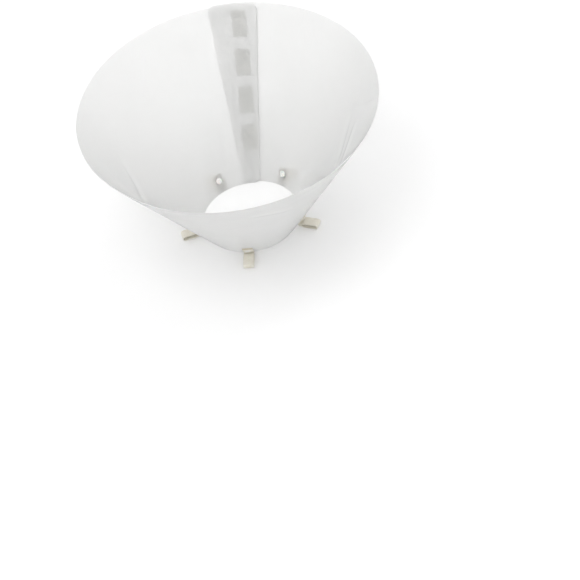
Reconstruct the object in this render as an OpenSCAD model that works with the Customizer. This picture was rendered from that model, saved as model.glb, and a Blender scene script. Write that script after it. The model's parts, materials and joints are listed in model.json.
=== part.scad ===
// Elizabethan collar: a sheet of frosted plastic rolled into an open cone, worn round a
// dog's neck. The two ends of the sheet overlap at the back and are held by four pairs of
// hook-and-loop patches. Five strap loops, riveted on near the neck edge, take the dog's
// own collar.
//
// Frame: the cone stands on its neck edge, z = 0, with its axis on +Z and the wide rim up.
// Angles are turned about Z from the seam at the back, +Y, towards the right, +X.

/* [Cone] */
// Inner radius of the neck opening
neck_r = 67; // [60:1:76]
// Length of the sheet from the neck edge to the rim, along the slope
slant = 250; // [240:5:300]
// Angle between the wall and the axis
half_angle = 32; // [28:0.5:36]
// Thickness of the sheet
sheet_t = 0.8; // [0.6:0.1:1]

/* [Closure] */
// Angle that each end of the sheet reaches past the middle of the seam
overlap = 10; // [8:0.5:12]
// Radius of the corners at the sheet's two ends
corner_r = 9; // [4:1:14]
// Width of a hook-and-loop patch
tape_w = 20; // [14:1:22]
// Length of a hook-and-loop patch, along the slope
tape_len = 35; // [25:1:45]
// Distance from one patch to the next, middle to middle
tape_pitch = 53; // [48:1:56]
// Distance from the neck edge to the middle of the lowest patch, along the slope
tape_first = 63.5; // [50:0.5:66]
// Angle from the middle of the seam to the middle of the patches
tape_turn = 2.2; // [0:0.1:3]
// Thickness of the hook tape, and of the loop tape
tape_t = 0.9; // [0.6:0.1:1.2]
// Angle from the seam to the line where the closing flap bends
flap_turn = 22; // [18:0.5:24]

/* [Panels] */
// Angle from the seam to the line where each side wing bends
wing_turn = 144; // [130:1:150]

/* [Collar loops] */
// Width of the strap that the loops are made of
strap_w = 14; // [10:1:15]
// Thickness of the strap
strap_t = 1; // [0.8:0.1:1.2]
// Distance from a loop's fold to its far end
loop_reach = 26; // [22:1:32]
// Clear height inside a loop
loop_gap = 5; // [4.6:0.1:6]

/* [Rivets] */
// Radius of a rivet's shank
shank_r = 1.6; // [1.2:0.1:2]
// Radius of a rivet's head, and of its cap
head_r = 4.5; // [3.5:0.1:5]
// Height of a rivet's domed head
head_h = 1.5; // [1:0.1:1.6]

/* [Hidden] */
// Names of the places round the neck where the collar loops sit, from the front
PLACES = ["front", "right_front", "right_rear", "left_rear", "left_front"];
PATCHES = [1:4];
$fn = 96;

SHEET = [0.93, 0.94, 0.94, 0.6];
HOOK = [0.86, 0.86, 0.82];
LOOP = [0.90, 0.90, 0.86];
STRAP = [0.91, 0.89, 0.83];
RIVET = [0.93, 0.93, 0.91];

// Free space left between two pieces that move apart
clear = 0.3;
// Half of the free angle along each line where the sheet bends
bend_gap = 0.12;
// Angle between neighbouring collar loops; the seam lies midway between two of them
loop_turn = 72;
// Where a loop's rivet, and the two ends of its tab, lie along the slope
rivet_at = 17;
tab_low = 5;
tab_high = 25;
// Where a loop turns: outside the sheet, and at half its own height above the neck edge
fold_out = 6.8;
loop_r = loop_gap / 2 + strap_t;
// Length of a loop's two plies between the fold and the place where they part
ply_len = 2.2;
// Shank hole in the sheet and the tab, a little larger than the shank
hole_fit = 0.05;
hole_r = shank_r + hole_fit;
// How far a rivet's shank runs on into its head
sink = 0.1;
// Height of a rivet's inner cap, and the free space that the hollow of the wall needs
cap_h = 1.2;
cap_gap = 0.2;
// Step round the edge of the cap's face
cap_step = 0.3;
// Radius of a patch's corners
tape_corner = 2;
// Half the angle of the layer of wall that a patch or a tab is cut from
layer_turn = 20;
// Longer than any cutter needs to be
far = 30;

// How far apart the overlapping ends lie, square to the wall
stack = sheet_t + 2 * tape_t + clear;
// Each wing is an arc that starts tangent to the front panel and has a radius larger or
// smaller by this much, so that the sheet forms a spiral and its ends lie stack apart
spread = stack / cos(half_angle)
    / (2 - cos(wing_turn - overlap) - cos(wing_turn + overlap));

// A point of the wall's section: s up the slope from the neck edge, n out from the inner face
function wall(s, n) = [
    neck_r + s * sin(half_angle) + n * cos(half_angle),
    s * cos(half_angle) - n * sin(half_angle)
];
// The direction that an angle about Z stands for
function dir(turn) = [sin(turn), cos(turn), 0];

// The three arcs that the sheet follows: how much larger the radius is, and the angle at
// which the arc is tangent to the front panel's
front_arc = [0, 180];
right_arc = [spread, wing_turn];
left_arc = [-spread, -wing_turn];

// Angle of each collar loop, and the arc of the sheet that it is riveted to
TURNS = [2.5 * loop_turn, 1.5 * loop_turn, 0.5 * loop_turn, -0.5 * loop_turn, -1.5 * loop_turn];
ARCS = [front_arc, right_arc, right_arc, left_arc, left_arc];

// A section turned about an arc's own axis, between two angles
module turned(arc, from, to) {
    translate(-arc[0] * dir(arc[1]))
        rotate([0, 0, 90 - to])
            rotate_extrude(angle = to - from)
                translate([arc[0], 0])
                    children();
}

// Part of the sheet between two angles. Its neck edge is cut level, to stand on.
module sheet(arc, from, to) {
    turned(arc, from, to)
        polygon([
            wall(0, 0), wall(slant, 0), wall(slant, sheet_t),
            [neck_r + sheet_t / cos(half_angle), 0]
        ]);
}

// A layer that lies on the wall, between two places up the slope and two depths
module layer(arc, from, to, low, high, inner, outer) {
    turned(arc, from, to)
        polygon([wall(low, inner), wall(high, inner), wall(high, outer), wall(low, outer)]);
}

// Places children on the wall: their +Y runs up the slope and their +Z out of the cone
module on_wall(arc, turn, s) {
    translate(-arc[0] * dir(arc[1]))
        rotate([0, 0, -turn])
            translate([0, wall(s, 0)[0] + arc[0], wall(s, 0)[1]])
                rotate([90 - half_angle, 0, 0])
                    rotate([0, 180, 0])
                        children();
}

// Cuts a round corner at the end of the sheet. side is 1 where the sheet goes on to
// larger angles and -1 where it goes on to smaller ones, up is 1 at the rim and -1 at
// the neck edge.
module corner_cut(arc, turn, side, up) {
    on_wall(arc, turn, up > 0 ? slant : 0)
        translate([0, 0, -far / 2])
            linear_extrude(far)
                difference() {
                    square(2 * corner_r, center = true);
                    translate([-side * corner_r, -up * corner_r])
                        circle(corner_r);
                }
}

// A rectangle with round corners, out of exact pieces
module rounded(w, l, r) {
    square([w - 2 * r, l], center = true);
    square([w, l - 2 * r], center = true);
    for (x = [-1, 1], y = [-1, 1])
        translate([x * (w / 2 - r), y * (l / 2 - r)])
            circle(r);
}

// A hook-and-loop patch of constant width that follows the wall between two depths
module patch(arc, index, inner, outer) {
    middle = tape_first + (index - 1) * tape_pitch;
    intersection() {
        layer(
            arc, tape_turn - layer_turn, tape_turn + layer_turn,
            middle - tape_len, middle + tape_len, inner, outer
        );
        on_wall(arc, tape_turn, middle)
            translate([0, 0, -far / 2])
                linear_extrude(far)
                    rounded(tape_w, tape_len, tape_corner);
    }
}

module shank_hole(arc, turn) {
    on_wall(arc, turn, rivet_at)
        translate([0, 0, -far / 2])
            cylinder(r = hole_r, h = far);
}

module front_panel() {
    color(SHEET) difference() {
        sheet(front_arc, wing_turn + bend_gap, 360 - wing_turn - bend_gap);
        shank_hole(front_arc, TURNS[0]);
    }
}

module right_wing() {
    color(SHEET) difference() {
        sheet(right_arc, flap_turn + bend_gap, wing_turn - bend_gap);
        shank_hole(right_arc, TURNS[1]);
        shank_hole(right_arc, TURNS[2]);
    }
}

module left_wing() {
    color(SHEET) difference() {
        sheet(left_arc, bend_gap - wing_turn, overlap);
        shank_hole(left_arc, TURNS[3]);
        shank_hole(left_arc, TURNS[4]);
        corner_cut(left_arc, overlap, -1, 1);
        corner_cut(left_arc, overlap, -1, -1);
    }
}

module closing_flap() {
    color(SHEET) difference() {
        sheet(right_arc, -overlap, flap_turn - bend_gap);
        corner_cut(right_arc, -overlap, 1, 1);
        corner_cut(right_arc, -overlap, 1, -1);
    }
}

// On the outer face of the inner end of the sheet
module hook_patch(index) {
    color(HOOK) patch(left_arc, index, sheet_t, sheet_t + tape_t);
}

// On the inner face of the flap
module loop_patch(index) {
    color(LOOP) patch(right_arc, index, -tape_t, 0);
}

// The two plies of a strap's ends, riveted to the outside of the wall
module loop_tab(arc, turn) {
    color(STRAP) difference() {
        intersection() {
            layer(
                arc, turn - layer_turn, turn + layer_turn,
                tab_low, tab_high, sheet_t, sheet_t + 2 * strap_t
            );
            on_wall(arc, turn, (tab_low + tab_high) / 2)
                translate([0, 0, -far / 2])
                    linear_extrude(far)
                        square([strap_w, far], center = true);
        }
        shank_hole(arc, turn);
    }
}

// The open loop of the strap. It lies level, a little way out from the wall.
module collar_loop(arc, turn) {
    parting = ply_len + loop_r;
    end = loop_reach - loop_r;
    color(STRAP)
        translate(-arc[0] * dir(arc[1]))
            rotate([0, 0, -turn])
                translate([strap_w / 2, neck_r + arc[0] + fold_out, loop_r])
                    rotate([0, -90, 0])
                        linear_extrude(strap_w)
                            difference() {
                                union() {
                                    translate([-strap_t, clear])
                                        square([2 * strap_t, parting]);
                                    translate([-loop_r, parting])
                                        square([2 * loop_r, end - parting]);
                                    for (y = [parting, end])
                                        translate([0, y]) circle(loop_r);
                                }
                                translate([-loop_gap / 2, parting])
                                    square([loop_gap, end - parting]);
                                for (y = [parting, end])
                                    translate([0, y]) circle(loop_gap / 2);
                            }
}

// A domed head on the tab, with the shank that goes through the tab and the sheet
module rivet(arc, turn) {
    seat = sheet_t + 2 * strap_t;
    ball_r = (head_r * head_r + head_h * head_h) / (2 * head_h);
    color(RIVET) on_wall(arc, turn, rivet_at) {
        translate([0, 0, -cap_gap])
            cylinder(r = shank_r, h = seat + cap_gap + sink);
        translate([0, 0, seat])
            rotate_extrude()
                intersection() {
                    translate([0, head_h - ball_r]) circle(ball_r);
                    square([head_r, head_h]);
                }
    }
}

// The flat cap inside the cone that the shank snaps into
module rivet_cap(arc, turn) {
    color(RIVET) on_wall(arc, turn, rivet_at)
        translate([0, 0, -cap_gap - cap_h]) {
            cylinder(r = head_r - cap_step, h = cap_step);
            translate([0, 0, cap_step]) cylinder(r = head_r, h = cap_h - cap_step);
        }
}

front_panel();
right_wing();
left_wing();
closing_flap();
for (i = PATCHES) {
    hook_patch(i);
    loop_patch(i);
}
for (i = [0:len(PLACES) - 1]) {
    loop_tab(ARCS[i], TURNS[i]);
    collar_loop(ARCS[i], TURNS[i]);
    rivet(ARCS[i], TURNS[i]);
    rivet_cap(ARCS[i], TURNS[i]);
}
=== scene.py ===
# Looks of the elizabethan collar: frosted sheet, hook-and-loop patches, strap loops, rivets.
import json
import math

import bmesh
import bpy
import numpy as np
from mathutils import Matrix, Vector


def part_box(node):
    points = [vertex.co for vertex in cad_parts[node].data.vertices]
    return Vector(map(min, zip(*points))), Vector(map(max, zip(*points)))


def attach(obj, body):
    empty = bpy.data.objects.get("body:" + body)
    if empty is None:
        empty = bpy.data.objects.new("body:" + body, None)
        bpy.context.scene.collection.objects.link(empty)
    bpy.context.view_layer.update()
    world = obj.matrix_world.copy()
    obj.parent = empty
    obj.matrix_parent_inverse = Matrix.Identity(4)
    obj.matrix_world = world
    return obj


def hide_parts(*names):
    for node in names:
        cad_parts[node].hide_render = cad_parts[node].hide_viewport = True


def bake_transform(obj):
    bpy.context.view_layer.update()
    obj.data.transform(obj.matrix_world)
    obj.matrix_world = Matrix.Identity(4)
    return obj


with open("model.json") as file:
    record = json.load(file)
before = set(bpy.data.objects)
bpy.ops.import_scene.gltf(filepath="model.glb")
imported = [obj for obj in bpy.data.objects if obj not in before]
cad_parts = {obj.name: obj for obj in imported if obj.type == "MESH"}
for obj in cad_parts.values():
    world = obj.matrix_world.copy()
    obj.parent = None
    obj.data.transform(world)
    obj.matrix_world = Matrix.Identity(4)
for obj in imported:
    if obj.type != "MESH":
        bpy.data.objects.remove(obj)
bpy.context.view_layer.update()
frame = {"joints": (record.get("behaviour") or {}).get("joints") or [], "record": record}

JOINTS = {joint["name"]: joint for joint in frame["joints"]}
MOUNTS = {mount["name"]: mount for mount in frame["record"]["mounts"]}
MM = 0.001

# Camera: where it stands, as seen from the middle of the neck opening, and where it aims
CAMERA_TURN = math.radians(10.2)      # to the right of the front
CAMERA_RISE = math.radians(44.6)
CAMERA_DISTANCE = 2.758
CAMERA_AIM = Vector((0.0563, -0.144, 0.0))
CAMERA_ROLL = math.radians(-11.4)
CAMERA_LENS = 124.1                   # millimetres, on a sensor SENSOR_WIDTH wide
SENSOR_WIDTH = 36.0

# Studio: name, place, power in watts and size of each light, the world's strength, half of the floor
LIGHTS = [
    ("key", (-1.0, -1.1, 3.2), 27, 2.2),
    ("fill", (0.8, 0.9, 2.9), 11, 2.0),
]
WORLD_STRENGTH = 0.9
FLOOR_HALF = 12.0

# Sheet
OVERLAP = 10.0                        # degrees that each end reaches past the seam's middle
CORNER_R = 9 * MM                     # round corners of the ends
EDGE_R = 0.2 * MM                     # the cut edges are not quite sharp
BEND_HALF = 38 * MM                   # half of the stretch on either side of a wing's bend line
FLAP_BEND = (8 * MM, -20 * MM)        # the flap's stretch, from its line towards the wing and the seam
TAPE_T = 0.9 * MM                     # hook tape, and loop tape
CLEAR = 0.3 * MM
GLUE = 0.03 * MM                      # between two pieces that touch, so that no two faces coincide
SPLIT_TURN = 83.0                     # where two pieces of the sheet meet
COLUMN_STEP = 1.0                     # degrees between columns of the sheet's mesh
ROW_STEP = 3 * MM
LATHE_SIDES = 48                      # sides of a turned piece

# Hook-and-loop patches
TAPE_W = 20 * MM
TAPE_LEN = 35 * MM
TAPE_PITCH = 53 * MM
TAPE_FIRST = 63.5 * MM
TAPE_TURN = 2.2
TAPE_CORNER = 2 * MM
TAPE_BASE = 0.38 * MM                 # woven ground under the hooks or the pile
TAPE_EDGE = 0.08 * MM                 # how far the ground's edges are taken off
SELVEDGE = 1.6 * MM                   # plain border along the tape's two long sides
HOOK_GAP = (1.25 * MM, 1.3 * MM)      # from hook to hook, across the tape and along it
HOOK_STEM = 0.28 * MM
HOOK_CURL = 0.13 * MM
HOOK_R = 0.075 * MM
ROOT = 0.05 * MM                      # how deep a hook's stem goes into the ground
PILE_COUNT = 900
PILE_HALF = 0.42 * MM                 # half of the length that one arch of the pile spans
PILE_TWIST = 0.10 * MM
PILE_HIGH = 0.40 * MM
PILE_R = 0.05 * MM
PILE_SIZES = (0.75, 1.12)
PILE_SEED = 40

# Straps
STRAP_W = 14 * MM
STRAP_T = 1 * MM
TAB_HIGH = 25 * MM
RIVET_AT = 17 * MM
LOOP_REACH = 26 * MM
LOOP_HALF = 3 * MM                    # from the loop's middle to the middle of each ply
FOLD_R = 1.2 * MM
STRAP_EDGE = 0.22 * MM                # how far the strap's edges are taken off
SWELL = 5.4 * MM                      # from the fold to where the two plies are fully apart
CROWN = 0.28 * MM                     # rise of the loop's upper ply in its middle
STRAP_STEP = 0.55 * MM                # from one cross-section to the next
FOLD_FROM = 2.9 * MM                  # two distances out from the wall
FOLD_TO = 4.9 * MM
HUG_TO = 6 * MM                       # from FOLD_FROM to here, it stops following the cone's curve

# Rivets
HEAD_R = 4.5 * MM
HEAD_H = 1.5 * MM
CAP_H = 1.2 * MM
CAP_GAP = 0.2 * MM
SHANK_R = 1.6 * MM

# The frame's own sizes
NECK_R = MOUNTS["neck_opening"]["dims"]["r_mm"] * MM
OPEN_HINGE = Vector(JOINTS["collar_open"]["pos_m"])
COS_A = abs(JOINTS["collar_open"]["axis"][2])
SIN_A = math.sqrt(1 - COS_A ** 2)
SHEET_T = (OPEN_HINGE.length - NECK_R) * COS_A
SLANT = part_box("front_panel")[1].z / COS_A
WING_TURN = math.degrees(math.atan2(OPEN_HINGE.x, OPEN_HINGE.y))
FLAP_HINGE = Vector(JOINTS["flap_peel"]["pos_m"])
FLAP_TURN = math.degrees(math.atan2(FLAP_HINGE.x, FLAP_HINGE.y))
STACK = SHEET_T + 2 * TAPE_T + CLEAR
SPREAD = STACK / COS_A / (
    2 - math.cos(math.radians(WING_TURN - OVERLAP)) - math.cos(math.radians(WING_TURN + OVERLAP))
)
ARCS = {"front": (0.0, 180.0), "right": (SPREAD, WING_TURN), "left": (-SPREAD, -WING_TURN)}

# Strap loops: name of the place, angle from the seam, arc of the sheet, body that it is riveted to
LOOPS = [
    ("front", 180.0, "front", "front"),
    ("right_front", 108.0, "right", "right_wing"),
    ("right_rear", 36.0, "right", "right_wing"),
    ("left_rear", -36.0, "left", "left_wing"),
    ("left_front", -108.0, "left", "left_wing"),
]

# Creases in the sheet: start, pull and end as (turn, slope), how far it stands out, half width
CREASES = [
    ((-92, 0.172), (-108, 0.111), (-128, 0.160), 1.4 * MM, 6 * MM),
    ((76, 0.172), (88, 0.196), (97, 0.252), -1.8 * MM, 6 * MM),
    ((80, 0.172), (84, 0.140), (100, 0.123), 1.2 * MM, 5 * MM),
    ((88, 0.186), (94, 0.158), (108, 0.146), -1.0 * MM, 5 * MM),
    ((150, 0.170), (160, 0.196), (172, 0.205), 0.6 * MM, 4 * MM),
    ((-52, 0.182), (-44, 0.206), (-40, 0.236), -0.6 * MM, 4 * MM),
]
CREASE_PARTS = 10                     # straight parts that a crease's curve is measured along
CREASE_FADE = 0.3                     # share of a crease over which it fades out at each end
CREASE_LEFT = 0.15                    # what is left of it at its very ends
CREASE_LINE = 0.35                    # width of its painted highlight line, as a share of its own width

TRUE_TO = 30 * MM                     # the wall is a true cone up to here, where the straps sit
CREASED_FROM = 80 * MM                # from here up, a crease has its full height
WAVY_FROM = 260 * MM                  # here the waves would have theirs, just past the rim

# The sheet's unevenness: height, waves round the cone, and how they are turned
WAVES = [(0.9 * MM, 2, 0.6), (0.6 * MM, 3, -1.1), (0.35 * MM, 5, 2.3)]
# Smaller waves, which also lean along the slope
SMALL_WAVES = [(0.12 * MM, 11, 0.4, 18), (0.08 * MM, 17, -1.7, -31)]


# ---------------------------------------------------------------- where things are

def smooth(x, low, high):
    """0 below low, 1 above high, and a smooth step between."""
    t = np.clip((np.asarray(x, float) - low) / (high - low), 0, 1)
    return t * t * (3 - 2 * t)


def crease_path(start, pull, end):
    """Points along a curve from start to end that leans towards pull."""
    share = np.linspace(0, 1, CREASE_PARTS + 1)[:, None]
    start, pull, end = (np.array(point, float) for point in (start, pull, end))
    return (1 - share) ** 2 * start + 2 * share * (1 - share) * pull + share ** 2 * end


def crease_lines(turn, s):
    """How far the creases lift each point, and how near it is to one, from 0 to 1."""
    turn, s = np.broadcast_arrays(np.asarray(turn, float), np.asarray(s, float))
    lift = np.zeros(s.shape)
    near = np.zeros(s.shape)
    radius = NECK_R + s * SIN_A
    for start, pull, end, height, width in CREASES:
        path = crease_path(start, pull, end)
        gap = np.full(s.shape, np.inf)
        reached = np.zeros(s.shape)
        for part, ((turn_a, s_a), (turn_b, s_b)) in enumerate(zip(path, path[1:])):
            across = np.radians(turn - turn_a) * radius
            run = np.radians(turn_b - turn_a) * radius
            share = (across * run + (s - s_a) * (s_b - s_a)) / (run ** 2 + (s_b - s_a) ** 2)
            inside = np.clip(share, 0, 1)
            part_gap = np.hypot(across - inside * run, s - s_a - inside * (s_b - s_a))
            reached = np.where(part_gap < gap, (part + inside) / CREASE_PARTS, reached)
            gap = np.minimum(gap, part_gap)
        taper = smooth(reached, 0, CREASE_FADE) * smooth(1 - reached, 0, CREASE_FADE)
        lift += height * np.exp(-(gap / width) ** 2) * (CREASE_LEFT + (1 - CREASE_LEFT) * taper)
        near = np.maximum(near, np.exp(-(gap / (CREASE_LINE * width)) ** 2) * taper)
    return lift, near


def ripple(turn, s):
    """The sheet's own unevenness: how far each point stands out from the true cone."""
    a = np.radians(turn)
    wave = sum(height * np.cos(count * a + phase) for height, count, phase in WAVES)
    small = sum(height * np.cos(count * a + phase + lean * s) for height, count, phase, lean in SMALL_WAVES)
    lift, _ = crease_lines(turn, s)
    return (wave + small) * smooth(s, TRUE_TO, WAVY_FROM) + lift * smooth(s, TRUE_TO, CREASED_FROM)


def wall(arc, turn, s, n):
    """Points of the wall: s up the slope from the neck edge, n out from the inner face."""
    grow, touch = ARCS[arc]
    turn, s, n = np.broadcast_arrays(*(np.asarray(v, float) for v in (turn, s, n)))
    out = n + ripple(turn, s)
    radius = NECK_R + grow + s * SIN_A + out * COS_A
    angle = np.radians(turn)
    x = radius * np.sin(angle) - grow * math.sin(math.radians(touch))
    y = radius * np.cos(angle) - grow * math.cos(math.radians(touch))
    return np.stack([x, y, s * COS_A - out * SIN_A], axis=-1)


def wall_axes(turn):
    """Directions at an angle: along the wall, up the slope, and out of the cone."""
    angle = math.radians(turn)
    outward = np.array([math.sin(angle), math.cos(angle), 0.0])
    along = np.array([math.cos(angle), -math.sin(angle), 0.0])
    up = np.array([0.0, 0.0, 1.0])
    return along, SIN_A * outward + COS_A * up, COS_A * outward - SIN_A * up


def flat_pattern(turn, s):
    """Where a point of the cone lies on the flat sheet that it was cut from, in metres."""
    reach = NECK_R / SIN_A + s
    angle = np.radians(turn) * SIN_A
    return np.stack([reach * np.sin(angle), reach * np.cos(angle)], axis=-1)


# ---------------------------------------------------------------- meshes

def make_object(name, points, faces, uvs=None, sharp=None):
    """A smooth-shaded mesh object with its faces turned outwards. uvs has one pair for each point."""
    mesh = bpy.data.meshes.new(name)
    mesh.from_pydata([tuple(p) for p in points], [], faces)
    turned = bmesh.new()
    turned.from_mesh(mesh)
    bmesh.ops.recalc_face_normals(turned, faces=turned.faces)
    turned.to_mesh(mesh)
    turned.free()
    mesh.polygons.foreach_set("use_smooth", [True] * len(mesh.polygons))
    if uvs is not None:
        layer = mesh.uv_layers.new(name="flat")
        corners = np.zeros(len(mesh.loops), np.int32)
        mesh.loops.foreach_get("vertex_index", corners)
        layer.data.foreach_set("uv", np.asarray(uvs, np.float32)[corners].ravel())
    if sharp is not None:
        mesh.set_sharp_from_angle(angle=math.radians(sharp))
    piece = bpy.data.objects.new(name, mesh)
    bpy.context.scene.collection.objects.link(piece)
    return piece


def loft_faces(rings, around, cap_first=False, cap_last=False):
    """Quads between rings of points. In a ring, point k lies across the piece from point -1 - k."""
    faces = []
    for i in range(rings - 1):
        a = i * around
        b = a + around
        for k in range(around):
            m = (k + 1) % around
            faces.append((a + k, a + m, b + m, b + k))
    half = around // 2
    for wanted, ring, flip in ((cap_first, 0, True), (cap_last, rings - 1, False)):
        if wanted:
            a = ring * around
            for k in range(half - 1):
                quad = (a + k, a + k + 1, a + around - 2 - k, a + around - 1 - k)
                faces.append(quad[::-1] if flip else quad)
    return faces


def loft(name, rings, uvs, **caps):
    """An object from an array of rings, shaped (rings, points around, 3)."""
    count, around = rings.shape[:2]
    faces = loft_faces(count, around, **caps)
    return make_object(name, rings.reshape(-1, 3), faces, uvs.reshape(-1, 2), sharp=50)


def lathe(name, profile, matrix):
    """A turned piece. profile is a list of (radius, height) that starts and ends on the axis."""
    points = [(0.0, 0.0, profile[0][1])]
    for radius, height in profile[1:-1]:
        for k in range(LATHE_SIDES):
            angle = 2 * math.pi * k / LATHE_SIDES
            points.append((radius * math.cos(angle), radius * math.sin(angle), height))
    points.append((0.0, 0.0, profile[-1][1]))
    faces = []
    last = len(points) - 1
    rings = len(profile) - 2
    top = 1 + (rings - 1) * LATHE_SIDES
    for k in range(LATHE_SIDES):
        m = (k + 1) % LATHE_SIDES
        faces.append((0, 1 + m, 1 + k))
        faces.append((last, top + k, top + m))
        for i in range(rings - 1):
            a = 1 + i * LATHE_SIDES
            b = a + LATHE_SIDES
            faces.append((a + k, a + m, b + m, b + k))
    return make_object(name, [matrix @ Vector(p) for p in points], faces, sharp=35)


def store(piece, name, values):
    """Keeps one number for each point of a piece, for its material to read."""
    attribute = piece.data.attributes.new(name, "FLOAT", "POINT")
    attribute.data.foreach_set("value", np.asarray(values, np.float32).ravel())


# ---------------------------------------------------------------- the sheet

def slope_rows():
    """Heights of the sheet's rows of points, closer together at the round corners."""
    bow = np.radians(np.linspace(0, 90, 9))
    low = EDGE_R + CORNER_R * (1 - np.sin(bow[::-1]))
    high = SLANT - EDGE_R - CORNER_R * (1 - np.sin(bow))
    count = round((high[0] - low[-1]) / ROW_STEP)
    middle = np.linspace(low[-1], high[0], count + 1)[1:-1]
    return np.concatenate([low, middle, high])


def sheet_profile():
    """The sheet's section as (s, n): up the inner face, over the rim, and down the outer face."""
    rows = slope_rows()
    lean = SIN_A / COS_A
    inner = np.stack([rows, np.zeros_like(rows)], axis=-1)
    rise = SHEET_T * lean
    outer_rows = rise + (rows - rows[0]) * (rows[-1] - rise - EDGE_R) / (rows[-1] - rows[0]) + EDGE_R
    outer = np.stack([outer_rows, np.full_like(rows, SHEET_T)], axis=-1)[::-1]
    neck_inner = (EDGE_R * lean, EDGE_R)
    neck_outer = ((SHEET_T - EDGE_R) * lean, SHEET_T - EDGE_R)
    rim_inner = (SLANT, EDGE_R)
    rim_outer = (SLANT, SHEET_T - EDGE_R)
    return np.concatenate([[neck_inner], inner, [rim_inner], [rim_outer], outer, [neck_outer]])


def corner_recess(s):
    """How far the round corners cut the end of the sheet back, at each height."""
    high = np.clip((s - (SLANT - EDGE_R - CORNER_R)) / CORNER_R, 0, 1)
    low = np.clip((EDGE_R + CORNER_R - s) / CORNER_R, 0, 1)
    return CORNER_R * (2 - np.sqrt(1 - high ** 2) - np.sqrt(1 - low ** 2))


def sheet_piece(name, arc, first, last, has_end):
    """Part of the sheet, from an open cut at first to last, where the sheet may end."""
    profile = sheet_profile()
    s, n = profile[:, 0], profile[:, 1]
    radius = NECK_R + s * SIN_A
    columns = round(abs(last - first) / COLUMN_STEP)
    shares = list(np.linspace(0, 1, columns + 1))
    way = math.copysign(1, last - first)
    end = np.full_like(s, last)
    if has_end:
        end = last - way * np.degrees(corner_recess(s) / radius)
    rings, flats, creased, edges = [], [], [], []
    brink = np.degrees(EDGE_R / radius)
    on_edge = np.zeros(len(s))
    on_edge[[0, len(s) // 2 - 1, len(s) // 2, -1]] = 1
    for share in shares:
        turn = first + (end - way * brink * has_end - first) * share
        rings.append(sheet_points(arc, turn, s, n))
        flats.append(flat_pattern(turn, s))
        creased.append(crease_lines(turn, s)[1])
        edges.append(on_edge)
    if has_end:
        thin = np.clip(n, EDGE_R, SHEET_T - EDGE_R)
        rings.append(sheet_points(arc, end, s, thin))
        flats.append(flat_pattern(end, s))
        creased.append(creased[-1])
        edges.append(np.ones(len(s)))
    rings = np.array(rings)
    if way < 0:
        rings = rings[:, ::-1]
        flats = [f[::-1] for f in flats]
        creased = [c[::-1] for c in creased]
        edges = [e[::-1] for e in edges]
    piece = loft(name, rings, np.array(flats), cap_first=True, cap_last=True)
    store(piece, "crease", creased)
    store(piece, "cut_edge", edges)
    piece.data.materials.append(frosted_sheet())
    piece.data.materials.append(clear_join())
    caps = len(s) // 2 - 1
    which = np.zeros(len(piece.data.polygons), np.int32)
    which[-2 * caps:-caps] = 1
    if not has_end:
        which[-caps:] = 1
    piece.data.polygons.foreach_set("material_index", which)
    return piece


def sheet_points(arc, turn, s, n):
    """Wall points of the arc, or of the front panel where turn is past the wing's bend."""
    past = (np.abs(turn) > WING_TURN)[..., None]
    return np.where(past, wall("front", turn, s, n), wall(arc, turn, s, n))


def bend(piece, parent, child, turn, arc, before, after):
    """Bakes a piece of the sheet's placement into its mesh, and finds a point on the line at turn; it does
    not bend the piece.
    """
    hinge = wall(arc, turn, 0.0, SHEET_T)
    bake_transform(piece)


def make_sheet():
    right = sheet_piece("sheet_right", "right", 180.0, SPLIT_TURN, False)
    bend(right, "front", "right_wing", WING_TURN, "right", BEND_HALF, -BEND_HALF)
    flap = sheet_piece("sheet_flap", "right", SPLIT_TURN, -OVERLAP, True)
    bend(flap, "right_wing", "flap", FLAP_TURN, "right", *FLAP_BEND)
    left = sheet_piece("sheet_left", "left", -180.0, OVERLAP, True)
    bend(left, "front", "left_wing", -WING_TURN, "left", -BEND_HALF, BEND_HALF)
    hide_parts("right_wing")
    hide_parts("closing_flap")
    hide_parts("left_wing", "front_panel")


# ---------------------------------------------------------------- patches

def rounded_ring(half, low, high, edge, count):
    """A flat bar's section as (across, height) pairs, with its four corners taken off."""
    across = np.linspace(-half + edge, half - edge, count)
    bottom = [(-half, low + edge), *((x, low) for x in across), (half, low + edge)]
    top = [(half, high - edge), *((x, high) for x in across[::-1]), (-half, high - edge)]
    return np.array(bottom + top)


def on_tape(arc, index, x, y, n):
    """A point of a patch: x across it, y up the slope from its middle, n out from the wall."""
    s = TAPE_FIRST + (index - 1) * TAPE_PITCH + y
    turn = TAPE_TURN + np.degrees(x / (NECK_R + s * SIN_A))
    return wall(arc, turn, s, n)


def tape_ground(arc, index, low, high):
    """Rings and flat coordinates of a patch's woven ground, with round corners."""
    bow = np.radians(np.linspace(0, 90, 7))
    corner = TAPE_CORNER * (1 - np.sin(bow))
    ends = TAPE_LEN / 2 - corner
    rows = np.concatenate([-ends[::-1], np.linspace(-ends[0], ends[0], 24)[1:-1], ends])
    rings, flats = [], []
    for y in rows:
        over = max(0.0, abs(y) - (TAPE_LEN / 2 - TAPE_CORNER)) / TAPE_CORNER
        half = TAPE_W / 2 - TAPE_CORNER * (1 - math.sqrt(max(0.0, 1 - over ** 2)))
        ring = rounded_ring(half, low, high, TAPE_EDGE, 11)
        rings.append(on_tape(arc, index, ring[:, 0], y, ring[:, 1]))
        flats.append(np.stack([ring[:, 0], np.full(len(ring), y)], axis=-1))
    return np.array(rings), np.array(flats)


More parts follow.
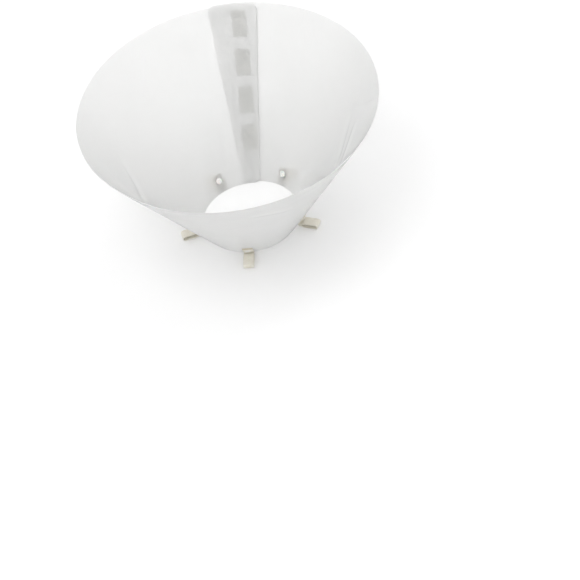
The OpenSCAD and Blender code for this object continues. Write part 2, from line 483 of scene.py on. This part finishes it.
def thread(path, radius, sides):
    """Points and faces of a thin tube along a path of (x, y, height) points."""
    path = np.asarray(path, float)
    forward = np.gradient(path, axis=0)
    forward /= np.linalg.norm(forward, axis=1)[:, None]
    side = np.cross(forward, [0.0, 1.0, 0.0])
    side /= np.linalg.norm(side, axis=1)[:, None]
    other = np.cross(forward, side)
    angles = 2 * np.pi * np.arange(sides) / sides
    rings = (
        path[:, None]
        + radius * np.cos(angles)[None, :, None] * side[:, None]
        + radius * np.sin(angles)[None, :, None] * other[:, None]
    )
    faces = loft_faces(len(path), sides)
    faces.append(tuple(range(sides))[::-1])
    faces.append(tuple(range((len(path) - 1) * sides, len(path) * sides)))
    return rings.reshape(-1, 3), faces


def hook_shape():
    """One moulded hook: a short stem that turns over at its top."""
    bow = np.radians(np.linspace(0, 205, 6))
    stem = [(0, 0, -ROOT), (0, 0, HOOK_STEM)]
    crook = [(HOOK_CURL * (1 - math.cos(a)), 0, HOOK_STEM + HOOK_CURL * math.sin(a)) for a in bow[1:]]
    return thread(stem + crook, HOOK_R, 5)


def pile_shape():
    """One thread of the brushed pile: a low arch."""
    bow = np.radians(np.linspace(0, 180, 7))
    arch = [(PILE_HALF * math.cos(a), PILE_TWIST * math.sin(2 * a), PILE_HIGH * math.sin(a)) for a in bow]
    return thread(arch, PILE_R, 4)


def hook_spots(_):
    """Places and headings of the hooks: straight rows that face left and right by turns."""
    across = np.arange(-(TAPE_W / 2 - SELVEDGE), TAPE_W / 2 - SELVEDGE, HOOK_GAP[0])
    up = np.arange(-(TAPE_LEN / 2 - 0.9 * MM), TAPE_LEN / 2 - 0.9 * MM, HOOK_GAP[1])
    x, y = np.meshgrid(across + 0.6 * MM, up + 0.4 * MM)
    row = np.arange(len(up))[:, None] % 2 * np.ones_like(x)
    return x.ravel(), y.ravel(), (row * np.pi).ravel(), np.ones(x.size)


def pile_spots(index):
    """Places and headings of the pile's threads: scattered, with random headings and sizes."""
    draw = np.random.default_rng(PILE_SEED + index)
    x = draw.uniform(-1, 1, PILE_COUNT) * (TAPE_W / 2 - SELVEDGE * 0.7)
    y = draw.uniform(-1, 1, PILE_COUNT) * (TAPE_LEN / 2 - 0.8 * MM)
    return x, y, draw.uniform(0, 2 * np.pi, PILE_COUNT), draw.uniform(*PILE_SIZES, PILE_COUNT)


def make_patch(name, arc, index, wall_n, way, shape, spots, materials, body):
    """A patch on the wall at wall_n, whose hooks or pile stand up along way."""
    low, high = sorted((wall_n + way * GLUE, wall_n + way * TAPE_BASE))
    rings, flats = tape_ground(arc, index, low, high)
    count, around = rings.shape[:2]
    faces = loft_faces(count, around, cap_first=True, cap_last=True)
    ground_faces = len(faces)
    points = [rings.reshape(-1, 3)]
    uvs = [flats.reshape(-1, 2)]
    template, template_faces = shape()
    x, y, heading, size = (v[:, None] for v in spots(index))
    px = x + size * (template[:, 0] * np.cos(heading) - template[:, 1] * np.sin(heading))
    py = y + size * (template[:, 0] * np.sin(heading) + template[:, 1] * np.cos(heading))
    pn = wall_n + way * (TAPE_BASE + size * template[:, 2])
    points.append(on_tape(arc, index, px, py, pn).reshape(-1, 3))
    uvs.append(np.stack([px.ravel(), py.ravel()], axis=-1))
    for k in range(len(x)):
        start = count * around + k * len(template)
        faces += [tuple(start + v for v in face) for face in template_faces]
    piece = make_object(name, np.concatenate(points), faces, np.concatenate(uvs))
    for material in materials:
        piece.data.materials.append(material)
    which = np.ones(len(faces), np.int32)
    which[:ground_faces] = 0
    piece.data.polygons.foreach_set("material_index", which)
    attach(piece, body)
    return piece


def make_patches():
    for index in range(1, 5):
        hook = make_patch(f"hook_tape_{index}", "left", index, SHEET_T, 1, hook_shape, hook_spots,
                          [tape_weave("hook_ground", (0.97, 0.965, 0.91)), hook_nylon()], "left_wing")
        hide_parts(f"hook_patch_{index}")
        pile = make_patch(f"loop_tape_{index}", "right", index, 0.0, -1, pile_shape, pile_spots,
                          [tape_weave("loop_ground", (0.975, 0.97, 0.92)), brushed_pile()], "flap")
        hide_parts(f"loop_patch_{index}")


# ---------------------------------------------------------------- straps

def spaced(path, step):
    """The same path with its points an even distance apart."""
    path = np.asarray(path, float)
    gaps = np.linalg.norm(np.diff(path, axis=0), axis=1)
    reach = np.concatenate([[0], np.cumsum(gaps)])
    wanted = np.linspace(0, reach[-1], round(reach[-1] / step) + 1)
    return np.stack([np.interp(wanted, reach, path[:, i]) for i in range(2)], axis=-1)


def eased(path, passes):
    """A path with its sharp turns worn down, and its two ends kept."""
    path = path.copy()
    for _ in range(passes):
        path[1:-1] = 0.25 * path[:-2] + 0.5 * path[1:-1] + 0.25 * path[2:]
    return path


def strap_path(radius, fold_radius, height):
    """The strap's middle line in its own upright plane, as (radius, height) points.

    It starts at the top of the outer ply, runs down to the fold, out along the loop's upper
    ply, round its far end and back along the lower ply, and up against the wall.
    """
    half_t = STRAP_T / 2
    down = np.array([-SIN_A, -COS_A])
    out = np.array([COS_A, -SIN_A])
    foot = np.array([radius, 0.0]) + out * (SHEET_T + GLUE + STRAP_T)
    turning = np.arccos(-SIN_A)
    reach = FOLD_R * math.tan(turning / 2)
    corner = foot - down * ((height - foot[1]) / -down[1])
    corner = np.array([corner[0], height])
    bend_start = corner - down * reach
    centre = bend_start + out * FOLD_R
    first = math.atan2(-out[1], -out[0])
    bow = first + np.linspace(0, turning, 9)
    far = fold_radius + LOOP_REACH - LOOP_HALF - half_t
    plies = []
    for side in (1, -1):
        ply = out * half_t * side
        high = foot - down * (TAB_HIGH - (0.5 * MM if side > 0 else 0))
        points = [high + ply, bend_start + ply]
        points += [centre + (FOLD_R - side * half_t) * np.array([math.cos(a), math.sin(a)]) for a in bow]
        for share in np.linspace(0, 1, 14):
            x = corner[0] + reach + (fold_radius + SWELL - corner[0] - reach) * share
            ply_height = half_t + (LOOP_HALF - half_t) * smooth(share, 0.0, 1.0)
            points.append(np.array([x, height + side * ply_height]))
        start = points[-1][0]
        for share in np.linspace(0, 1, 12)[1:]:
            crown = CROWN * math.sin(math.pi * share) if side > 0 else 0.0
            points.append(np.array([start + (far - start) * share, height + side * LOOP_HALF + crown]))
        plies.append(points)
    turn_round = [
        np.array([far + LOOP_HALF * math.cos(a), height + LOOP_HALF * math.sin(a)])
        for a in np.linspace(math.pi / 2, -math.pi / 2, 13)[1:-1]
    ]
    path = plies[0] + turn_round + plies[1][::-1]
    return eased(spaced(path, STRAP_STEP), 4)


def make_strap(place, turn, arc, body):
    grow, touch = ARCS[arc]
    joint = JOINTS[f"loop_swing_{place}"]
    along, _, _ = wall_axes(turn)
    outward = np.array([math.sin(math.radians(turn)), math.cos(math.radians(turn)), 0.0])
    centre = -grow * np.array([math.sin(math.radians(touch)), math.cos(math.radians(touch)), 0.0])
    fold = Vector(joint["pos_m"])
    fold_radius = float(np.dot(np.array([fold.x, fold.y, 0.0]) - centre, outward))
    path = strap_path(NECK_R + grow, fold_radius, fold.z)
    forward = np.gradient(path, axis=0)
    forward /= np.linalg.norm(forward, axis=1)[:, None]
    left = np.stack([-forward[:, 1], forward[:, 0]], axis=-1)
    run = np.concatenate([[0], np.cumsum(np.linalg.norm(np.diff(path, axis=0), axis=1))])
    depth = (path[:, 0] - NECK_R - grow) * COS_A - path[:, 1] * SIN_A
    hug = 1 - smooth(depth, FOLD_FROM, HUG_TO)
    ring = rounded_ring(STRAP_W / 2, -STRAP_T / 2, STRAP_T / 2, STRAP_EDGE, 13)
    rings, flats = [], []
    for i in range(len(path)):
        x, h = ring[:, 0], ring[:, 1]
        across = path[i] + h[:, None] * left[i]
        radial = across[:, 0] - hug[i] * x ** 2 / (2 * across[:, 0])
        rings.append(centre + radial[:, None] * outward + x[:, None] * along + across[:, 1:2] * [0, 0, 1])
        flats.append(np.stack([x, np.full(len(x), run[i])], axis=-1))
    piece = loft(f"strap_{place}", np.array(rings), np.array(flats), cap_first=True, cap_last=True)
    ends = np.minimum(run, run[-1] - run)
    sealed = 1 - smooth(ends, 0.5 * MM, 1.3 * MM)
    store(piece, "cut_edge", np.repeat(sealed, len(ring)))
    piece.data.materials.append(strap_webbing())
    tuple(wall(arc, turn, 0.0, FOLD_FROM))
    tuple(wall(arc, turn, 0.0, FOLD_TO))
    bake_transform(piece)
    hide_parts(f"loop_tab_{place}", f"collar_loop_{place}")


# ---------------------------------------------------------------- rivets

def rivet_matrix(arc, turn):
    along, up, out = wall_axes(turn)
    matrix = Matrix((along, up, out)).transposed().to_4x4()
    matrix.translation = Vector(wall(arc, turn, RIVET_AT, 0.0))
    return matrix


def rivet_profile():
    """A snap rivet from the end of its shank to its domed head, with a gate mark in the middle."""
    seat = SHEET_T + 2 * STRAP_T
    rim = 0.35 * MM
    dome = []
    for a in np.radians(np.linspace(8, 72, 9)):
        radius = HEAD_R * math.cos(a)
        dome.append((radius, seat + rim + (HEAD_H - rim) * math.sin(a) / math.sin(math.radians(72))))
    top = seat + HEAD_H
    return [
        (0, -CAP_GAP), (SHANK_R - 0.2 * MM, -CAP_GAP), (SHANK_R, -CAP_GAP + 0.2 * MM), (SHANK_R, seat),
        (HEAD_R - 0.25 * MM, seat), (HEAD_R - 0.06 * MM, seat + 0.08 * MM), (HEAD_R, seat + 0.22 * MM),
        *dome,
        (1.15 * MM, top + 0.01 * MM), (0.95 * MM, top - 0.04 * MM), (0.8 * MM, top - 0.2 * MM),
        (0.45 * MM, top - 0.22 * MM), (0.3 * MM, top - 0.12 * MM), (0, top - 0.1 * MM),
    ]


def cap_profile():
    """The cap inside the cone: a ring round a well, in which the shank's tip shows."""
    face = -CAP_GAP - CAP_H
    return [
        (0, face + 0.2 * MM), (0.9 * MM, face + 0.22 * MM), (1.15 * MM, face + 0.36 * MM),
        (1.25 * MM, face + 0.6 * MM), (1.8 * MM, face + 0.6 * MM), (1.95 * MM, face + 0.2 * MM),
        (2.2 * MM, face + 0.03 * MM), (2.5 * MM, face), (HEAD_R - 0.8 * MM, face),
        (HEAD_R - 0.35 * MM, face + 0.1 * MM), (HEAD_R - 0.06 * MM, face + 0.38 * MM),
        (HEAD_R, face + 0.65 * MM), (HEAD_R, -CAP_GAP - 0.1 * MM), (HEAD_R - 0.1 * MM, -CAP_GAP),
        (0, -CAP_GAP),
    ]


def make_rivets():
    for place, turn, arc, body in LOOPS:
        matrix = rivet_matrix(arc, turn)
        for name, profile in (("rivet", rivet_profile()), ("rivet_cap", cap_profile())):
            piece = lathe(f"snap_{name}_{place}", profile, matrix)
            piece.data.materials.append(rivet_nylon())
            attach(piece, body)
            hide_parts(f"{name}_{place}")


# ---------------------------------------------------------------- materials

def new_material(name, color, roughness, **settings):
    """A Principled material with plain values. Returns it with its tree and shader."""
    material = bpy.data.materials.new(name)
    material.use_nodes = True
    tree = material.node_tree
    shader = tree.nodes["Principled BSDF"]
    shader.inputs["Base Color"].default_value = (*color, 1)
    shader.inputs["Roughness"].default_value = roughness
    for socket, value in settings.items():
        shader.inputs[socket.replace("_", " ")].default_value = value
    return material, tree, shader


def once(maker):
    """Makes each material the first time it is asked for, and hands out the same one after."""
    made = {}

    def ask(*words):
        if words not in made:
            made[words] = maker(*words)
        return made[words]
    return ask


def add(tree, kind, inputs=(), **settings):
    """A node with its settings, and its inputs given as values or as sockets to link."""
    node = tree.nodes.new(f"ShaderNode{kind}")
    for name, value in settings.items():
        setattr(node, name, value)
    for name, value in dict(inputs).items():
        if isinstance(value, bpy.types.NodeSocket):
            tree.links.new(value, node.inputs[name])
        else:
            node.inputs[name].default_value = value
    return node


def ramp(tree, value, low, high, out_low, out_high):
    """A number mapped from low..high to out_low..out_high."""
    node = add(tree, "MapRange", {0: value, 1: low, 2: high, 3: out_low, 4: out_high})
    return node.outputs[0]


def mixed(tree, share, color_a, color_b):
    """Two colours, or sockets, mixed by a share."""
    node = add(tree, "Mix", data_type="RGBA")
    for index, value in ((0, share), (6, color_a), (7, color_b)):
        if isinstance(value, bpy.types.NodeSocket):
            tree.links.new(value, node.inputs[index])
        elif index:
            node.inputs[index].default_value = (*value, 1)
        else:
            node.inputs[0].default_value = value
    return node.outputs[2]


def calc(tree, operation, a, b=0.0):
    node = add(tree, "Math", {0: a, 1: b}, operation=operation)
    return node.outputs[0]


def noise(tree, place, scale, detail=2.0, roughness=0.5):
    node = add(tree, "TexNoise", {"Vector": place, "Scale": scale, "Detail": detail, "Roughness": roughness})
    return node.outputs[0]


def bump(tree, shader, height, distance, strength=1.0):
    node = add(tree, "Bump", {"Height": height, "Distance": distance, "Strength": strength})
    tree.links.new(node.outputs[0], shader.inputs["Normal"])


def streaks(tree, flat, scale, turn, low, high):
    """Thin streaks across the flat sheet, at an angle: 0 off them and 1 on them."""
    drawn = add(tree, "Mapping", {"Vector": flat, "Rotation": (0, 0, turn), "Scale": (*scale, 1)})
    return ramp(tree, noise(tree, drawn.outputs[0], 1), low, high, 0, 1)


@once
def frosted_sheet():
    """Extruded sheet with a matt grain, draw lines, scuffs towards its rim, and a painted highlight along
    its creases and cut edges.
    """
    material, tree, shader = new_material(
        "frosted_sheet", (0.97, 0.97, 0.965), 0.48, Transmission_Weight=0.7, IOR=1.45,
    )
    flat = add(tree, "UVMap", uv_map="flat").outputs[0]
    crease = add(tree, "Attribute", attribute_name="crease").outputs[2]
    edge = add(tree, "Attribute", attribute_name="cut_edge").outputs[2]
    cloud = noise(tree, flat, 22, 4)
    lines = streaks(tree, flat, (380, 5), 0.0, 0.3, 0.7)
    grain = noise(tree, flat, 900, 3, 0.6)
    reach = add(tree, "VectorMath", {0: flat}, operation="LENGTH").outputs[1]
    worn = ramp(tree, reach, NECK_R / SIN_A + 0.35 * SLANT, NECK_R / SIN_A + SLANT, 0.25, 1)
    patchy = ramp(tree, noise(tree, flat, 45, 2), 0.45, 0.62, 0, 1)
    marks = calc(
        tree, "MAXIMUM",
        streaks(tree, flat, (1500, 38), 0.7, 0.63, 0.72), streaks(tree, flat, (1300, 30), -0.5, 0.64, 0.73),
    )
    scuffed = calc(tree, "MULTIPLY", calc(tree, "MULTIPLY", marks, patchy), worn)
    # painted highlight: paler along the creases and the cut edges, where they catch the light
    painted_highlight = calc(tree, "MAXIMUM", crease, calc(tree, "MULTIPLY", edge, 0.6))
    base = mixed(tree, ramp(tree, cloud, 0.35, 0.65, 0, 1), (0.962, 0.963, 0.957), (0.986, 0.986, 0.981))
    scored = mixed(tree, calc(tree, "MULTIPLY", scuffed, 0.8), base, (0.86, 0.86, 0.855))
    tree.links.new(mixed(tree, painted_highlight, scored, (0.99, 0.99, 0.988)), shader.inputs["Base Color"])
    rough = calc(tree, "ADD", ramp(tree, lines, 0, 1, 0.44, 0.52), calc(tree, "MULTIPLY", scuffed, 0.2))
    tree.links.new(rough, shader.inputs["Roughness"])
    matt = calc(tree, "ADD", grain, calc(tree, "MULTIPLY", lines, 0.6))
    height = calc(tree, "SUBTRACT", matt, calc(tree, "MULTIPLY", scuffed, 0.8))
    bump(tree, shader, height, 0.05 * MM, 0.6)
    return material


@once
def clear_join():
    """Invisible faces that close two pieces of the sheet where they meet, since the real sheet is whole."""
    material, _, _ = new_material("clear_join", (1, 1, 1), 1, Alpha=0)
    return material


def weave(tree, flat, pitch_x, pitch_y):
    """Height of a plain weave: threads that pass over and under each other."""
    parts = add(tree, "SeparateXYZ", {0: flat})
    wave_x = calc(tree, "SINE", calc(tree, "MULTIPLY", parts.outputs[0], math.pi / pitch_x))
    wave_y = calc(tree, "SINE", calc(tree, "MULTIPLY", parts.outputs[1], math.pi / pitch_y))
    over = calc(tree, "MULTIPLY", wave_x, wave_y)
    warp = calc(tree, "ABSOLUTE", wave_x)
    weft = calc(tree, "ABSOLUTE", wave_y)
    on_top = ramp(tree, over, -0.3, 0.3, 0, 1)
    picked = add(tree, "Mix", {0: on_top, 2: warp, 3: weft})
    return picked.outputs[0]


@once
def tape_weave(name, color):
    """The woven ground of the hook-and-loop tape."""
    material, tree, shader = new_material(name, color, 0.8, Sheen_Weight=0.2)
    flat = add(tree, "UVMap", uv_map="flat").outputs[0]
    height = weave(tree, flat, 0.45 * MM, 0.38 * MM)
    # painted shade: darker where the weave's threads dip and paler on their tops; the mottle is the tape's
    # own uneven tone
    painted_weave_shade = ramp(tree, height, 0, 1, 0.92, 1.02)
    mottle = ramp(tree, noise(tree, flat, 260, 2), 0.3, 0.7, 0.96, 1.0)
    tone_and_shade = add(tree, "VectorMath", {0: color, 3: calc(tree, "MULTIPLY", painted_weave_shade, mottle)}, operation="SCALE")
    tree.links.new(tone_and_shade.outputs[0], shader.inputs["Base Color"])
    bump(tree, shader, height, 0.08 * MM)
    return material


@once
def hook_nylon():
    """Clear, slightly shiny filament, which the hooks are cut from."""
    material, tree, shader = new_material(
        "hook_nylon", (0.94, 0.94, 0.89), 0.32, Transmission_Weight=0.35, IOR=1.5,
    )
    flat = add(tree, "UVMap", uv_map="flat").outputs[0]
    speck = ramp(tree, noise(tree, flat, 900, 1), 0.3, 0.7, 0.26, 0.42)
    tree.links.new(speck, shader.inputs["Roughness"])
    return material


@once
def brushed_pile():
    """Soft brushed threads."""
    material, tree, shader = new_material("brushed_pile", (0.92, 0.91, 0.86), 0.85, Sheen_Weight=0.6)
    flat = add(tree, "UVMap", uv_map="flat").outputs[0]
    tone = ramp(tree, noise(tree, flat, 700, 2), 0.3, 0.7, 0, 1)
    tree.links.new(mixed(tree, tone, (0.90, 0.89, 0.82), (0.96, 0.955, 0.91)), shader.inputs["Base Color"])
    return material


@once
def strap_webbing():
    """Cream woven webbing, darker where its cut ends were sealed with heat."""
    material, tree, shader = new_material("strap_webbing", (0.83, 0.80, 0.70), 0.72, Sheen_Weight=0.35)
    flat = add(tree, "UVMap", uv_map="flat").outputs[0]
    sealed = add(tree, "Attribute", attribute_name="cut_edge").outputs[2]
    height = weave(tree, flat, 0.95 * MM, 0.62 * MM)
    tone = ramp(tree, noise(tree, flat, 120, 3), 0.3, 0.7, 0, 1)
    base = mixed(tree, tone, (0.80, 0.765, 0.66), (0.87, 0.845, 0.76))
    shaded = mixed(tree, ramp(tree, height, 0, 0.55, 0.45, 0), base, (0.58, 0.54, 0.44))
    tree.links.new(mixed(tree, sealed, shaded, (0.62, 0.56, 0.44)), shader.inputs["Base Color"])
    tree.links.new(ramp(tree, sealed, 0, 1, 0.74, 0.38), shader.inputs["Roughness"])
    bump(tree, shader, calc(tree, "MULTIPLY", height, ramp(tree, sealed, 0, 1, 1, 0.2)), 0.14 * MM)
    return material


@once
def rivet_nylon():
    """Moulded natural nylon, a little see-through, with a faintly uneven colour and gloss."""
    material, tree, shader = new_material(
        "rivet_nylon", (0.90, 0.895, 0.86), 0.3, Subsurface_Weight=0.25, Subsurface_Scale=0.0015,
    )
    place = add(tree, "TexCoord").outputs["Object"]
    tone = ramp(tree, noise(tree, place, 300, 3), 0.3, 0.7, 0, 1)
    tree.links.new(mixed(tree, tone, (0.88, 0.87, 0.82), (0.93, 0.925, 0.90)), shader.inputs["Base Color"])
    tree.links.new(ramp(tree, noise(tree, place, 1500, 2), 0.3, 0.7, 0.24, 0.4), shader.inputs["Roughness"])
    bump(tree, shader, noise(tree, place, 2200, 2), 0.01 * MM, 0.6)
    return material


# ---------------------------------------------------------------- studio

def make_floor():
    mesh = bpy.data.meshes.new("floor")
    corners = [(x * FLOOR_HALF, y * FLOOR_HALF, 0) for x, y in ((-1, -1), (1, -1), (1, 1), (-1, 1))]
    mesh.from_pydata(corners, [], [(0, 1, 2, 3)])
    floor = bpy.data.objects.new("floor", mesh)
    bpy.context.scene.collection.objects.link(floor)
    material, _, _ = new_material("floor", (0.95, 0.95, 0.95), 0.7)
    mesh.materials.append(material)


def make_camera():
    data = bpy.data.cameras.new("camera")
    data.lens = CAMERA_LENS
    data.sensor_width = SENSOR_WIDTH
    camera = bpy.data.objects.new("camera", data)
    bpy.context.scene.collection.objects.link(camera)
    level = CAMERA_DISTANCE * math.cos(CAMERA_RISE)
    camera.location = (
        level * math.sin(CAMERA_TURN),
        -level * math.cos(CAMERA_TURN),
        CAMERA_DISTANCE * math.sin(CAMERA_RISE),
    )
    look = (CAMERA_AIM - camera.location).to_track_quat("-Z", "Y").to_matrix().to_4x4()
    camera.matrix_world = Matrix.Translation(camera.location) @ look @ Matrix.Rotation(CAMERA_ROLL, 4, "Z")
    bpy.context.scene.camera = camera


def make_light(name, place, power, size):
    data = bpy.data.lights.new(name, "AREA")
    data.energy = power
    data.size = size
    light = bpy.data.objects.new(name, data)
    light.location = place
    light.rotation_euler = (-Vector(place)).to_track_quat("-Z", "Y").to_euler()
    bpy.context.scene.collection.objects.link(light)


def make_studio():
    world = bpy.data.worlds.new("studio")
    world.use_nodes = True
    background = world.node_tree.nodes["Background"]
    background.inputs["Color"].default_value = (1, 1, 1, 1)
    background.inputs["Strength"].default_value = WORLD_STRENGTH
    bpy.context.scene.world = world
    bpy.context.scene.view_settings.view_transform = "Standard"
    for light in LIGHTS:
        make_light(*light)
    make_floor()


make_camera()
make_studio()
make_sheet()
make_patches()
make_rivets()
for loop in LOOPS:
    make_strap(*loop)
